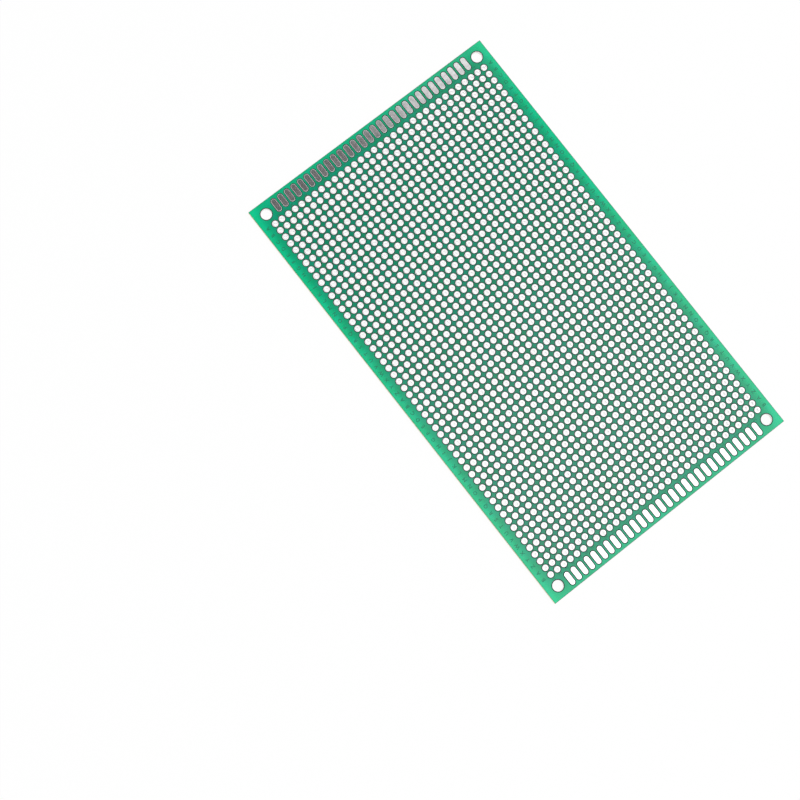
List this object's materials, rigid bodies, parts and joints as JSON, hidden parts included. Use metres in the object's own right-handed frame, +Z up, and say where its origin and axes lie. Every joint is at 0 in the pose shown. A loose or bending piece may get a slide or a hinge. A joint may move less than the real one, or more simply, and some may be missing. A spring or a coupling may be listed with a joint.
{
  "type": "prototype board",
  "caption": "Double-sided prototype board: a flat green laminate with a square grid of plated holes, oblong contact pads along both short ends and a mounting hole in each corner.",
  "frame": {"origin": "middle of the laminate's underside", "axes": "X across the board's width, Y along its length, +Z up out of the top face"},
  "size_m": [0.09, 0.15, 0.0016],
  "materials": {
    "coated_laminate": "smooth glossy green coat on both faces, yellowish sawn glass-fibre laminate at the edges",
    "tinned_copper": "bright levelled solder, slightly uneven"
  },
  "bodies": {
    "root": {"laminate": "coated_laminate", "edge_pads_top_front": "tinned_copper", "edge_pads_top_rear": "tinned_copper", "edge_pads_bottom_front": "tinned_copper", "edge_pads_bottom_rear": "tinned_copper", "plated_holes_column_01": "tinned_copper", "plated_holes_column_02": "tinned_copper", "plated_holes_column_03": "tinned_copper", "plated_holes_column_04": "tinned_copper", "plated_holes_column_05": "tinned_copper", "plated_holes_column_06": "tinned_copper", "plated_holes_column_07": "tinned_copper", "plated_holes_column_08": "tinned_copper", "plated_holes_column_09": "tinned_copper", "plated_holes_column_10": "tinned_copper", "plated_holes_column_11": "tinned_copper", "plated_holes_column_12": "tinned_copper", "plated_holes_column_13": "tinned_copper", "plated_holes_column_14": "tinned_copper", "plated_holes_column_15": "tinned_copper", "plated_holes_column_16": "tinned_copper", "plated_holes_column_17": "tinned_copper", "plated_holes_column_18": "tinned_copper", "plated_holes_column_19": "tinned_copper", "plated_holes_column_20": "tinned_copper", "plated_holes_column_21": "tinned_copper", "plated_holes_column_22": "tinned_copper", "plated_holes_column_23": "tinned_copper", "plated_holes_column_24": "tinned_copper", "plated_holes_column_25": "tinned_copper", "plated_holes_column_26": "tinned_copper", "plated_holes_column_27": "tinned_copper", "plated_holes_column_28": "tinned_copper", "plated_holes_column_29": "tinned_copper", "plated_holes_column_30": "tinned_copper", "plated_holes_column_31": "tinned_copper", "plated_holes_column_32": "tinned_copper", "plated_holes_column_33": "tinned_copper"}
  },
  "joints": []
}
